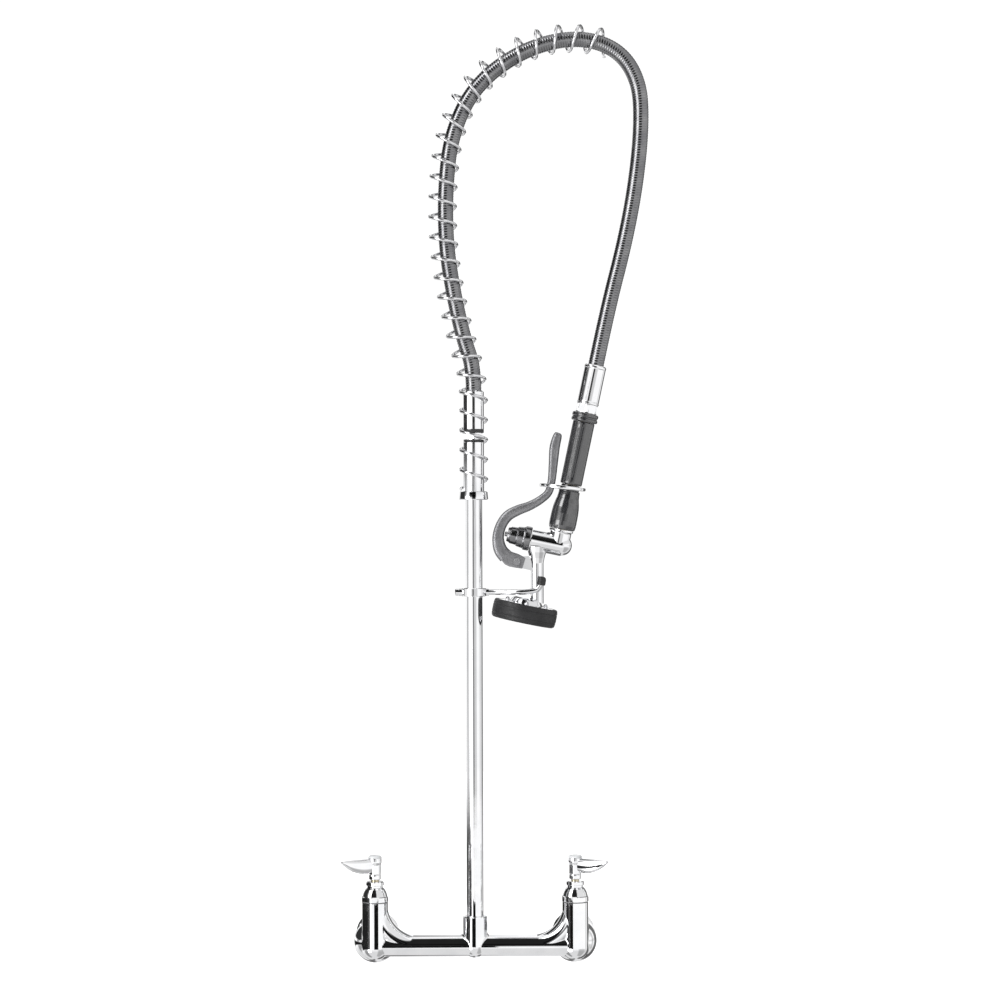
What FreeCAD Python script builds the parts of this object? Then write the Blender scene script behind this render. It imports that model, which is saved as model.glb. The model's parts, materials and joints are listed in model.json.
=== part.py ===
"""Wall-mounted pre-rinse faucet: a two-handle mixing body, a riser, an overhead spring round a metal hose,
and a squeeze-lever spray valve parked on a finger hook.

Frame, in millimetres: +Z up, the wall is the plane Y = 0 and the faucet stands out from it along -Y.
The origin is on the wall, midway between the two supply inlets. The left side is at -X.
"""
import FreeCAD
import Part
import math
import os

V = FreeCAD.Vector
X, Y, Z = V(1, 0, 0), V(0, 1, 0), V(0, 0, 1)
ORIGIN = V(0, 0, 0)

# ---- driving dimensions -------------------------------------------------------------------------------
INLET_SPACING = 203.2                                    # 8 inch centres
VALVE_X = INLET_SPACING / 2
AXIS_Y = -66.0                                           # plane of the valve axes, the riser and the arch
FREE = 0.05                                              # radial clearance of a fit within one body
RUNNING = 0.06                                           # radial clearance of a shaft that turns or slides

INLET_THREAD_R, INLET_THREAD_LENGTH = 9.9, 14.0          # 1/2 inch female pipe thread, mean radius
FLANGE_R, FLANGE_LENGTH = 22.3, 24.5
UNION_R, UNION_FLATS = 14.0, 36.0
BRIDGE_Z, BRIDGE_R, BRIDGE_BORE_R = -3.0, 11.0, 6.0      # the cross tube between the valves
BULB_R, BULB_Y, BULB_BACK = 22.3, -51.0, -40.2           # round elbow behind each barrel
BARREL_FOOT = -5.0                                       # where the barrel starts to round off
BARREL_R, BARREL_TOP, CHAMBER_R = 13.25, 41.0, 10.0
SWEEP_X, SWEEP_R, SWEEP_TUBE_R = 57.9, 41.5, 10.6        # curved branch from barrel to cross tube
HUB_R, HUB_FLOOR, HUB_TOP = 12.4, 14.0, 27.0
CASTING_FILLET = 2.6

SEAT_TOP, SEAT_R = 15.2, 6.5
STEM_R, STEM_BASE, STEM_TOP = 4.0, 24.5, 80.0
BONNET_BAND_TOP, BONNET_TOP, PACKING_NUT_TOP = 47.4, 56.0, 62.4
HANDLE_BASE, HANDLE_TOP, LEVER_REACH, LEVER_YAW = 64.2, 86.0, 39.5, 33.0

RISER_R, RISER_BORE_R, RISER_LENGTH = 8.55, 6.25, 457.2  # 3/8 inch pipe, 18 inches long
RISER_TOP = HUB_FLOOR + RISER_LENGTH
COLLAR_R, COLLAR_BASE, COLLAR_TOP = 14.8, 449.2, 458.0   # the seat under the spring
SLEEVE_R, SLEEVE_TOP, SPIGOT_R, SPIGOT_TOP = 10.6, 508.4, 7.0, 520.0
FERRULE_R, FERRULE_BASE, HOSE_BASE = 10.6, 521.0, 560.0

HOOK_Z, HOOK_ROD_R, HOOK_FORWARD = 355.6, 2.75, 11.0     # finger hook: height, rod, offset before the neck

HOSE_R, HOSE_BORE_R = 8.0, 5.2
SPRING_WIRE_R, SPRING_R, SPRING_TURNS = 1.55, 13.3, 28.5  # wire radius, mean coil radius, left-hand turns

GRIP_TILT = 12.0                                         # degrees, lean of the spray valve from upright
GRIP_END = V(88.8, AXIS_Y, 418.7)                        # centre of the grip's lower end
GRIP_LENGTH = 170.3                                      # from there up to the hose
CHAMBER_B = -15.7                                        # height of the valve chamber below the grip's end
NECK_A, NECK_R, NECK_BORE_R, NECK_LENGTH = -22.0, 6.6, 4.2, 64.0
HEAD_A, HEAD_TOP, HEAD_BASE, BUMPER_R = -19.4, -80.7, -100.0, 33.0
PIVOT = V(-37.9, 0, -40.9)                               # lever pivot, in the spray valve's own frame
LEVER_THICKNESS, LEVER_WIDTH = 8.4, 12.6

# Route of the hose in the plane of the arch, (x, z), from the riser's ferrule towards the grip's ferrule.
# Its last two points lie on the grip's own axis, so that the hose enters the ferrule straight.
HOSE_ROUTE = [(0, 560), (0, 584), (-10, 613), (-20, 658), (-27.6, 708), (-28.2, 764), (-22, 820), (1.5, 869.5),
              (49.5, 905.5), (104, 919.5), (147, 907.5), (169.5, 874), (171.3, 826), (165, 767), (153.5, 708)]
HOSE_LAST_RUN = 60.0
# Route of the spring's own axis. Its coils are wider than the hose, which leans to the inside of the bend.
SPRING_ROUTE = [(0, 460), (0, 525), (0, 572), (-12.6, 613), (-23, 658), (-30.6, 708), (-31.2, 764), (-24.8, 821),
                (-0.5, 871.6), (48.5, 908.2), (104, 921.4), (138, 911.2)]


# ---- small builders -----------------------------------------------------------------------------------
def at(x, z, y=AXIS_Y):
    """A point in the plane of the arch unless y says otherwise."""
    return V(x, y, z)


def unit(vector):
    """A copy of the vector with length one."""
    return vector * (1.0 / vector.Length)


def rod(start, direction, radius, length):
    """A round bar."""
    return Part.makeCylinder(radius, length, start, direction)


def pipe(start, direction, outer, inner, length):
    """A round tube."""
    return rod(start, direction, outer, length).cut(rod(start, direction, inner, length))


def turned(profile, start=ORIGIN, direction=Z):
    """A solid of revolution. The profile is a closed outline of (radius, distance along the axis) points."""
    points = [V(r, 0, h) for r, h in profile]
    face = Part.Face(Part.makePolygon(points + points[:1]))
    solid = face.revolve(ORIGIN, Z, 360)
    solid.Placement = FreeCAD.Placement(start, FreeCAD.Rotation(Z, direction))
    return solid


def hexagon(start, direction, across_flats, length, bore=0.0):
    """A hexagonal nut blank with chamfered corners and a bore."""
    corner = across_flats / math.sqrt(3)
    angles = [math.radians(60 * i) for i in range(7)]
    outline = Part.makePolygon([V(corner * math.cos(a), corner * math.sin(a), 0) for a in angles])
    prism = Part.Face(outline).extrude(V(0, 0, length))
    drop = 0.5 * (corner - across_flats / 2)
    inner = across_flats / 2
    envelope = turned([(0, 0), (inner, 0), (corner, drop), (corner, length - drop), (inner, length),
                       (0, length)])
    prism = prism.common(envelope)
    if bore:
        prism = prism.cut(rod(ORIGIN, Z, bore, length))
    prism.Placement = FreeCAD.Placement(start, FreeCAD.Rotation(Z, direction))
    return prism


def softened(solid, radius, keep=lambda edge: True):
    """The solid with the edges that keep() picks rounded."""
    edges = [e for e in solid.Edges if keep(e)]
    return solid.makeFillet(radius, edges) if edges else solid


def hollow_corners(solid, shortest=4.0):
    """The edges where two faces meet in an inside corner, as between two fused castings."""
    found = []
    for edge in solid.Edges:
        faces = solid.ancestorsOfType(edge, Part.Face)
        if len(faces) != 2 or edge.Length < shortest:
            continue
        middle = edge.valueAt((edge.FirstParameter + edge.LastParameter) / 2)
        normals = [f.normalAt(*f.Surface.parameter(middle)) for f in faces]
        across = normals[0] - normals[1]
        if across.Length < 0.15:
            continue
        across = unit(across) * 0.05
        if solid.isInside(middle + across, 1e-4, False) and solid.isInside(middle - across, 1e-4, False):
            found.append(edge)
    return found


def rounded_path(points, share=0.45):
    """Straight runs joined by tangent arcs, each as large as its shorter run allows. Returns (wire, radii)."""
    edges, radii, here = [], [], points[0]
    for before, corner, after in zip(points, points[1:], points[2:]):
        reach = share * min((corner - before).Length, (after - corner).Length)
        back, ahead = unit(before - corner), unit(after - corner)
        radius = reach / math.tan((math.pi - back.getAngle(ahead)) / 2)
        centre = corner + unit(back + ahead) * math.hypot(radius, reach)
        middle = centre + unit(corner - centre) * radius
        edges.append(Part.LineSegment(here, corner + back * reach).toShape())
        edges.append(Part.Arc(corner + back * reach, middle, corner + ahead * reach).toShape())
        radii.append(radius)
        here = corner + ahead * reach
    edges.append(Part.LineSegment(here, points[-1]).toShape())
    return Part.Wire(edges), radii


def along(wire, start, direction, outer, inner=0.0):
    """A round bar or tube that follows a wire."""
    face = Part.Face(Part.Wire(Part.Circle(start, direction, outer).toShape()))
    solid = wire.makePipe(face)
    if inner:
        bore = Part.Face(Part.Wire(Part.Circle(start, direction, inner).toShape()))
        solid = solid.cut(wire.makePipe(bore))
    return solid


def biarc(p0, t0, p1, t1):
    """Two arcs from p0 to p1 that meet smoothly and leave and arrive along t0 and t1."""
    chord, total = p1 - p0, t0 + t1
    gap = 2 * (1 - t0.dot(t1))
    reach = (math.sqrt(chord.dot(total) ** 2 + gap * chord.dot(chord)) - chord.dot(total)) / gap
    joint = (p0 + t0 * reach + p1 - t1 * reach) * 0.5

    def arc(start, tangent, end):
        across = end - start
        side = unit(across.cross(tangent).cross(across))
        half = across.getAngle(tangent)
        return Part.Arc(start, (start + end) * 0.5 + side * (0.5 * across.Length * math.tan(half / 2)), end)

    back = arc(p1, t1 * -1.0, joint)
    return [arc(p0, t0, joint).toShape(), Part.Arc(joint, back.value(0.5 * (back.FirstParameter
            + back.LastParameter)), p1).toShape()]


def coil(axis, turns, radius, wire_radius, hand, steps_per_turn=4):
    """A helical spring. axis(u) gives a centre, a tangent and a side direction for u from 0 to 1."""
    count = int(turns * steps_per_turn)

    def place(u):
        centre, tangent, side = axis(u)
        angle = 2 * math.pi * turns * u * hand
        return centre + side * (radius * math.cos(angle)) + tangent.cross(side) * (radius * math.sin(angle))

    edges, small = [], 1e-4
    for i in range(count):
        u0, u1 = i / count, (i + 1) / count
        ends = []
        for u in (u0, u1):
            low, high = max(0.0, u - small), min(1.0, u + small)
            ends.append((place(u), unit(place(high) - place(low))))
        edges += biarc(ends[0][0], ends[0][1], ends[1][0], ends[1][1])
    start = edges[0].valueAt(edges[0].FirstParameter)
    direction = unit(edges[0].tangentAt(edges[0].FirstParameter))
    return along(Part.Wire(edges), start, direction, wire_radius)


PARTS = {}


def keep(name, shape, group=False):
    """Store one node. A single piece is one valid solid."""
    solids = shape.Solids
    assert group or len(solids) == 1, (name, len(solids))
    PARTS[name] = shape if group else solids[0]


def keep_pair(name, left):
    """Store a left piece and its identical right twin as one group."""
    keep(name, Part.makeCompound([left, left.mirror(ORIGIN, X)]), group=True)


def both_sides(maker):
    """The left piece and its mirror image on the right."""
    left = maker()
    return left, left.mirror(ORIGIN, X)


# ---- mixing body --------------------------------------------------------------------------------------
def sweep_branch(radius, tube_radius, turn=90.0):
    """The left curved branch, from the cross tube up into the barrel."""
    centre = at(-SWEEP_X, BARREL_TOP - 2.5)
    ring = Part.Face(Part.Wire(Part.Circle(centre - Z * radius, X, tube_radius).toShape()))
    return ring.revolve(centre, Y, turn)


def valve_body():
    """Casting: cross tube, two round elbows, two barrels, the riser hub and the waterways inside."""
    outside = rod(at(-VALVE_X, BRIDGE_Z), X, BRIDGE_R, INLET_SPACING)
    hub = turned([(0, BRIDGE_Z), (HUB_R, BRIDGE_Z), (HUB_R, HUB_TOP - 0.8), (HUB_R - 0.8, HUB_TOP), (0, HUB_TOP)],
                 V(0, AXIS_Y, 0))
    outside = outside.fuse([hub, Part.makeSphere(HUB_R, at(0, BRIDGE_Z))])
    inside = rod(at(-60, BRIDGE_Z), X, BRIDGE_BORE_R, 120)
    inside = inside.fuse(rod(at(0, BRIDGE_Z), Z, BRIDGE_BORE_R, HUB_TOP - BRIDGE_Z))
    inside = inside.fuse(rod(at(0, HUB_FLOOR), Z, RISER_R + FREE, HUB_TOP - HUB_FLOOR))
    for side in (-1, 1):
        valve = at(side * VALVE_X, 0)
        tail_end = V(side * VALVE_X, -27, 0)
        bulb = Part.makeSphere(BULB_R, V(side * VALVE_X, BULB_Y, 0))
        foot = valve + Z * BARREL_FOOT
        solids = [bulb.cut(rod(V(side * VALVE_X, BULB_BACK, 0), Y, 2 * BULB_R, 2 * BULB_R)),
                  Part.makeSphere(BARREL_R, foot), rod(foot, Z, BARREL_R, BARREL_TOP - BARREL_FOOT),
                  rod(valve, Y, 11.0, -27 - AXIS_Y)]
        bores = [rod(tail_end, Y * -1.0, 6.5, -27 - AXIS_Y),
                 Part.makeSphere(7.0, valve),
                 rod(valve, Z, 4.4, 10),
                 rod(valve + Z * 9.5, Z, SEAT_R + FREE, 6),
                 rod(valve + Z * 14, Z, CHAMBER_R, BARREL_TOP - 14)]
        branch = sweep_branch(SWEEP_R, SWEEP_TUBE_R)
        passage = sweep_branch(SWEEP_R - 2.5, 4.5)
        if side > 0:
            branch, passage = branch.mirror(ORIGIN, X), passage.mirror(ORIGIN, X)
        outside = outside.fuse(solids + [branch])
        inside = inside.fuse(bores + [passage])
    outside = outside.removeSplitter()
    outside = outside.makeFillet(CASTING_FILLET, hollow_corners(outside))
    shoulders = [rod(V(side * VALVE_X, -31, 0), Y, UNION_R - 0.1, 4) for side in (-1, 1)]
    return outside.fuse(shoulders).cut(inside)


def inlet_flange():
    profile = [(INLET_THREAD_R, 0), (FLANGE_R, 0), (FLANGE_R, 3.5), (20.5, 5.5), (16, 7), (UNION_R, 8.5),
               (UNION_R, FLANGE_LENGTH), (6.5, FLANGE_LENGTH), (6.5, INLET_THREAD_LENGTH),
               (INLET_THREAD_R, INLET_THREAD_LENGTH)]
    return turned(profile, V(-VALVE_X, 0, 0), Y * -1.0)


def union_nut():
    start = V(-VALVE_X, -15, 0)
    nut = hexagon(start, Y * -1.0, UNION_FLATS, 22, 11.0 + FREE)
    return nut.cut(rod(start, Y * -1.0, UNION_R + FREE, 16.1))


keep("valve_body", valve_body())
for side, shape in zip(("left", "right"), both_sides(inlet_flange)):
    keep(side + "_inlet_flange", shape)
keep_pair("union_nuts", union_nut())
keep_pair("union_washers", pipe(V(-VALVE_X, -FLANGE_LENGTH, 0), Y * -1.0, 13.5, 6.8, 2.5))

# ---- the two valves -----------------------------------------------------------------------------------
LEFT_VALVE = V(-VALVE_X, AXIS_Y, 0)


def bonnet():
    """Screwed dome that guides the stem and holds its packing."""
    profile = [(8, 30), (CHAMBER_R - FREE, 30), (CHAMBER_R - FREE, BARREL_TOP + 0.6), (13.0, BARREL_TOP + 0.6),
               (13.6, BARREL_TOP + 1.2), (13.6, BONNET_BAND_TOP - 0.6), (12.8, BONNET_BAND_TOP),
               (11.6, 51.5), (10, 54.5), (8.6, BONNET_TOP), (6.5, BONNET_TOP), (6.5, 51),
               (STEM_R + RUNNING, 51), (STEM_R + RUNNING, 46), (8, 46)]
    return turned(profile, LEFT_VALVE)


def packing_nut():
    profile = [(STEM_R + RUNNING, 54.6), (6.4, 54.6), (6.4, 56.1), (7.8, 56.1), (7.8, 58.2), (9, 58.6),
               (9, 61.6), (8.2, PACKING_NUT_TOP), (STEM_R + RUNNING, PACKING_NUT_TOP)]
    return turned(profile, LEFT_VALVE)


def stem():
    """Turning stem: a plain shaft with a narrower drive end for the washer holder."""
    profile = [(0, STEM_BASE), (3, STEM_BASE), (3, 34), (STEM_R, 34), (STEM_R, STEM_TOP), (2 + FREE, STEM_TOP),
               (2 + FREE, 70), (0, 70)]
    return turned(profile, LEFT_VALVE)


def lever_handle():
    """Hub on the stem with one tapering, pointed lever that leans forward of sideways."""
    hub = turned([(0, HANDLE_BASE), (5.6, HANDLE_BASE), (6, HANDLE_BASE + 0.5), (6, 79), (6.8, 81.5),
                  (6.8, HANDLE_TOP), (0, HANDLE_TOP)])
    top = 85.5
    tip = V(LEVER_REACH, 0, 84.2)
    belly = Part.BSplineCurve()
    belly.interpolate([tip, V(35, 0, 79.6), V(28.5, 0, 75), V(21, 0, 72.2), V(13, 0, 70.9), V(4, 0, 71.6)])
    outline = Part.Wire([Part.LineSegment(V(4, 0, 71.6), V(4, 0, top)).toShape(),
                         Part.LineSegment(V(4, 0, top), V(31, 0, top)).toShape(),
                         Part.LineSegment(V(31, 0, top), tip).toShape(), belly.toShape()])
    blade = Part.Face(outline).extrude(V(0, 8, 0))
    blade.translate(V(0, -4, 0))
    blade = softened(blade, 1.6, lambda e: abs(abs(e.CenterOfMass.y) - 4) < 0.01 and e.CenterOfMass.x > 4.5)
    handle = hub.fuse(blade)
    handle = handle.cut(rod(V(0, 0, HANDLE_BASE), Z, STEM_R + FREE, STEM_TOP - HANDLE_BASE))
    handle = handle.cut(rod(V(0, 0, STEM_TOP), Z, 2.1, 2)).cut(rod(V(0, 0, 82), Z, 5.0, 6))
    handle.rotate(ORIGIN, Z, 180 + LEVER_YAW)
    handle.translate(LEFT_VALVE)
    return handle


def handle_screw():
    return turned([(0, 70.5), (2, 70.5), (2, 82), (3.6, 82), (3.6, 83.6), (2.8, 84.4), (0, 84.4)], LEFT_VALVE)


def index_cap():
    return turned([(0, 84.6), (4.95, 84.6), (4.95, HANDLE_TOP), (6.8, HANDLE_TOP), (6.8, 87.2), (5.6, 88.4),
                   (3, 88.9), (0, 89)], LEFT_VALVE)


def washer_holder():
    """Brass cup on the stem's drive end. It rises off the seat as the stem turns."""
    profile = [(3 + RUNNING, 31.5), (5.2, 31.5), (5.2, 26), (7.5, 25), (7.5, 17.6), (1.5 + FREE, 17.6),
               (1.5 + FREE, 21.6), (0, 21.6), (0, 22.4), (3 + RUNNING, 22.4)]
    return turned(profile, LEFT_VALVE)


def seat_washer():
    return pipe(LEFT_VALVE + Z * (SEAT_TOP + 0.05), Z, 7.0, 3.3, 17.6 - SEAT_TOP - 0.05)


def washer_screw():
    return turned([(0, 15.5), (2.6, 15.5), (3.2, 16.1), (3.2, 17.6), (1.5, 17.6), (1.5, 21.5), (0, 21.5)],
                  LEFT_VALVE)


for name, maker in (("bonnet", bonnet), ("stem", stem), ("lever_handle", lever_handle),
                    ("handle_screw", handle_screw), ("index_cap", index_cap), ("washer_holder", washer_holder),
                    ("seat_washer", seat_washer), ("washer_screw", washer_screw)):
    for side, shape in zip(("left", "right"), both_sides(maker)):
        keep(side + "_" + name, shape)

keep_pair("packing_nuts", packing_nut())
keep_pair("valve_seats", turned([(4, 9.5), (SEAT_R, 9.5), (SEAT_R, 14.2), (6.1, SEAT_TOP), (4.7, SEAT_TOP),
                                 (4, 14.4)], LEFT_VALVE))
keep_pair("bonnet_gaskets", pipe(LEFT_VALVE + Z * BARREL_TOP, Z, 13.0, CHAMBER_R + FREE, 0.6))
keep_pair("stem_packings", pipe(LEFT_VALVE + Z * 51, Z, 6.4, STEM_R + RUNNING, 3.6))

# ---- riser and spring guide ---------------------------------------------------------------------------
keep("riser_pipe", pipe(at(0, HUB_FLOOR), Z, RISER_R, RISER_BORE_R, RISER_LENGTH))
keep("spring_guide", turned([(RISER_R + FREE, COLLAR_BASE + 1), (SLEEVE_R, COLLAR_BASE + 1),
                             (SLEEVE_R, SLEEVE_TOP - 1), (SLEEVE_R - 1, SLEEVE_TOP), (SPIGOT_R, SLEEVE_TOP),
                             (SPIGOT_R, SPIGOT_TOP), (5.2, SPIGOT_TOP), (5.2, RISER_TOP),
                             (RISER_R + FREE, RISER_TOP)], at(0, 0)))
collar = turned([(SLEEVE_R + FREE, COLLAR_BASE), (COLLAR_R - 0.8, COLLAR_BASE), (COLLAR_R, COLLAR_BASE + 0.8),
                 (COLLAR_R, COLLAR_TOP - 0.8), (COLLAR_R - 0.8, COLLAR_TOP), (SLEEVE_R + FREE, COLLAR_TOP)],
                at(0, 0))
screw_height = (COLLAR_BASE + COLLAR_TOP) / 2
keep("spring_collar", collar.cut(rod(at(0, screw_height), Y, 2.05, 20)))
keep("collar_set_screw", rod(at(0, screw_height, AXIS_Y + SLEEVE_R + 0.1), Y, 2.0, 3.6))
keep("lower_swivel_ring", pipe(at(0, SLEEVE_TOP), Z, 10.3, SPIGOT_R + 0.1, 1.9))


# ---- finger hook --------------------------------------------------------------------------------------
def hook_clamp():
    """Band round the riser with a boss for the clamp screw and a boss for the finger."""
    middle = at(0, HOOK_Z)
    band = turned([(0, -4.2), (12.0, -4.2), (12.6, -3.6), (12.6, 3.6), (12.0, 4.2), (0, 4.2)], middle)
    clamp = band.fuse([rod(middle, X * -1.0, 4.0, 15.4), rod(middle, X, 4.0, 15.0)])
    clamp = clamp.cut(rod(middle - Z * 5, Z, RISER_R + FREE, 10))
    clamp = clamp.cut(rod(middle, X * -1.0, 2.05, 16))
    return clamp.cut(rod(middle, X, HOOK_ROD_R + FREE, 16))


keep("hook_clamp", hook_clamp())
keep("clamp_screw", turned([(0, 8.8), (2, 8.8), (2, 15.6), (3.6, 15.6), (3.6, 18.6), (2.9, 19.4), (0, 19.4)],
                           at(0, HOOK_Z), X * -1.0))
front = AXIS_Y - HOOK_FORWARD
finger_points = [at(9.2, HOOK_Z), at(22, HOOK_Z), at(42, HOOK_Z, front), at(57, HOOK_Z + 0.4, front),
                 at(67, HOOK_Z + 3.2, front), at(68.9, HOOK_Z + 14.4, front)]
finger_path, finger_radii = rounded_path(finger_points)
keep("hook_finger", along(finger_path, finger_points[0], X, HOOK_ROD_R))
tip_direction = unit(finger_points[-1] - finger_points[-2])
tip_start = finger_points[-1] - tip_direction * 7.4
keep("hook_tip_sleeve", turned([(HOOK_ROD_R + FREE, 0), (3.9, 0), (4.3, 0.6), (4.3, 7.2), (3.4, 8.6), (0, 9),
                                (0, 7.45), (HOOK_ROD_R + FREE, 7.45)], tip_start, tip_direction))

# ---- swivel, hose and overhead spring -----------------------------------------------------------------
keep("hose_swivel_nut", hexagon(at(0, 510.6), Z, 18.2, 6.7, SPIGOT_R + RUNNING))
keep("upper_swivel_ring", pipe(at(0, 517.3), Z, 10.3, 7.5, FERRULE_BASE - 517.3))
keep("hose_washer", pipe(at(0, SPIGOT_TOP + 0.1), Z, 7.4, 4.5, 2.8))
keep("riser_end_ferrule", turned([(7.5, FERRULE_BASE), (FERRULE_R, FERRULE_BASE), (FERRULE_R, HOSE_BASE - 1.2),
                                  (FERRULE_R - 1.2, HOSE_BASE), (HOSE_BORE_R, HOSE_BASE),
                                  (HOSE_BORE_R, 522.9), (7.5, 522.9)], at(0, 0)))

grip_axis = V(math.sin(math.radians(GRIP_TILT)), 0, math.cos(math.radians(GRIP_TILT)))
hose_end = GRIP_END + grip_axis * GRIP_LENGTH
hose_points = [at(x, z) for x, z in HOSE_ROUTE] + [hose_end + grip_axis * HOSE_LAST_RUN, hose_end]
hose_path, hose_radii = rounded_path(hose_points)
hose = along(hose_path, hose_points[0], unit(hose_points[1] - hose_points[0]), HOSE_R, HOSE_BORE_R)
keep("hose", hose)
print("hose length %.0f mm, bend radii %s" % (hose_path.Length, [round(r) for r in hose_radii]))
print("hose volume / (section x length) = %.4f" % (
    hose.Volume / (math.pi * (HOSE_R ** 2 - HOSE_BORE_R ** 2) * hose_path.Length)))

spring_curve = Part.BSplineCurve()
spring_curve.buildFromPolesMultsKnots([at(x, z) for x, z in SPRING_ROUTE],
                                      [3] + [1] * (len(SPRING_ROUTE) - 3) + [3],
                                      list(range(len(SPRING_ROUTE) - 1)), False, 2)
SPRING_LENGTH = spring_curve.length()


def spring_axis(u):
    """Centre, tangent and in-plane side direction at the share u of the spring's length."""
    parameter = spring_curve.parameterAtDistance(u * SPRING_LENGTH, spring_curve.FirstParameter)
    tangent = unit(spring_curve.tangent(parameter)[0])
    return spring_curve.value(parameter), tangent, Y.cross(tangent) * -1.0


keep("overhead_spring", coil(spring_axis, SPRING_TURNS, SPRING_R, SPRING_WIRE_R, hand=-1))
print("spring length %.0f mm" % SPRING_LENGTH)

# ---- spray valve, in its own frame: x towards the back of the grip, z up the grip ----------------------
VALVE_FRAME = FreeCAD.Placement(GRIP_END, FreeCAD.Rotation(Y, GRIP_TILT))
DOWN = V(math.sin(math.radians(GRIP_TILT)), 0, -math.cos(math.radians(GRIP_TILT)))
CHAMBER = V(0, 0, CHAMBER_B)
NECK_START = V(NECK_A, 0, CHAMBER_B)
HEAD = V(HEAD_A, 0, 0)


def keep_in_valve(name, shape, group=False):
    """Store a spray-valve piece, moved from the valve's own frame to the faucet's."""
    shape = shape.copy()
    shape.Placement = VALVE_FRAME.multiply(shape.Placement)
    keep(name, shape, group)


def gun_body():
    """Casting: socket under the grip, cross chamber, neck and the lug that carries the lever."""
    outside = turned([(0, -14), (11, -14), (11, -3), (12.4, -1.6), (12.4, 0), (0, 0)])
    outside = outside.fuse([rod(CHAMBER + X * 3, X * -1.0, 11, 31), Part.makeSphere(11, CHAMBER + X * 3),
                            rod(NECK_START, DOWN, NECK_R, NECK_LENGTH)])
    flare = turned([(0, 6), (10.4, 6), (9.4, 12), (7.6, 18), (NECK_R - 0.2, 24), (0, 24)], NECK_START, DOWN)
    lug_points = [V(PIVOT.x - 5, 0, PIVOT.z), V(PIVOT.x, 0, PIVOT.z + 5.6), V(-17, 0, PIVOT.z + 10),
                  V(-15, 0, PIVOT.z - 6), V(PIVOT.x, 0, PIVOT.z - 5.4)]
    lug = Part.Face(Part.makePolygon(lug_points + lug_points[:1])).extrude(V(0, 7, 0))
    lug.translate(V(0, -3.5, 0))
    lug = lug.fuse(rod(PIVOT - Y * 3.5, Y, 5.8, 7))
    outside = outside.fuse([flare, lug]).removeSplitter()
    outside = outside.makeFillet(1.6, hollow_corners(outside, shortest=20.0))
    inside = rod(CHAMBER + X * 6, X * -1.0, 7.5, 40)
    inside = inside.fuse([rod(V(0, 0, -6), Z, 6 + FREE, 7), rod(CHAMBER, Z, 4.5, 12),
                          rod(NECK_START, DOWN, NECK_BORE_R, NECK_LENGTH + 1)])
    outside = outside.cut(rod(CHAMBER - X * 28.5, X * -1.0, 12.7, 12))
    return outside.cut(inside).cut(rod(PIVOT - Y * 5, Y, 2.5 + FREE, 10))


def gun_bonnet():
    """Stepped cap that closes the chamber and guides the plunger. Distances run towards the lever."""
    profile = [(5, 24), (7.5 - FREE, 24), (7.5 - FREE, 28.6), (11.6, 28.6), (12.4, 29.4), (12.4, 35.2),
               (11.0, 36.2), (9.9, 42.6), (9.0, 43.4), (8.6, 49.4), (7.4, 50.6), (7.0, 52.8),
               (2.5 + RUNNING, 52.8), (2.5 + RUNNING, 46.9), (5, 46.9)]
    return turned(profile, CHAMBER, X * -1.0)


def squeeze_lever():
    """Lever that hooks round the bonnet from the pivot below and rises beside the grip."""
    rows = [(-23.3, 95.8, 8.0), (-23.9, 81, 10.6), (-21.8, 63, 9.4), (-19.9, 45, 8.2), (-20.8, 34, 8.2),
            (-27.0, 25.4, 8.6), (-36.6, 17.0, 9.4), (-47.3, 10.2, 10.6), (-56.2, 2.4, 11.2), (-60.9, -8.6, 11.2),
            (-61.2, -21.4, 12.0), (-56.2, -32.8, 14.0), (-48.4, -39.0, 15.2), (-38.8, -40.2, 14.4),
            (-30.2, -41.2, 11.4)]
    middle = Part.BSplineCurve()
    middle.interpolate([V(a, 0, b) for a, b, width in rows])
    outer, inner = [], []
    for a, b, width in rows:
        point = V(a, 0, b)
        side = Y.cross(unit(middle.tangent(middle.parameter(point))[0]))
        outer.append(point + side * (width / 2))
        inner.append(point - side * (width / 2))
    first, second = Part.BSplineCurve(), Part.BSplineCurve()
    first.interpolate(outer)
    second.interpolate(inner)
    outline = Part.Wire([first.toShape(), Part.LineSegment(outer[-1], inner[-1]).toShape(), second.toShape(),
                         Part.LineSegment(inner[0], outer[0]).toShape()])
    half = LEVER_WIDTH / 2
    blank = Part.Face(outline).extrude(V(0, LEVER_WIDTH, 0))
    blank.translate(V(0, -half, 0))
    blank = softened(blank, 2.2, lambda e: abs(abs(e.CenterOfMass.y) - half) < 0.01 and e.Length > 60)
    fork_gap = Part.makeBox(20.0, 7.8, 24, V(PIVOT.x - 8.5, -3.9, PIVOT.z - 14))
    return blank.cut(fork_gap).cut(rod(PIVOT - Y * 9, Y, 2.5 + RUNNING, 18))


def plunger():
    profile = [(0, 55.4), (2.0, 55.4), (2.5, 54.8), (2.5, 8.9), (5.6, 8.9), (5.6, 5.9), (1.9, 5.9), (1.9, 3.4),
               (0, 3.4)]
    return turned(profile, CHAMBER, X * -1.0)


def return_spring():
    """Small spring behind the plunger's disc."""
    start, length = CHAMBER - X * 5.1, 10.4

    def axis(u):
        return start + X * (length * u), X, Y

    return coil(axis, 5, 4.2, 0.6, hand=1)


def upper_grip():
    grip = turned([(6 + FREE, 46.5), (10.4, 46.5), (11.2, 47.6), (11.2, 111.5), (6 + FREE, 111.5)])
    for i in range(16):
        angle = math.radians(22.5 * i)
        groove = rod(V(11.8 * math.cos(angle), 11.8 * math.sin(angle), 52), Z, 1.3, 54)
        grip = grip.cut(groove)
    return grip


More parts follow.
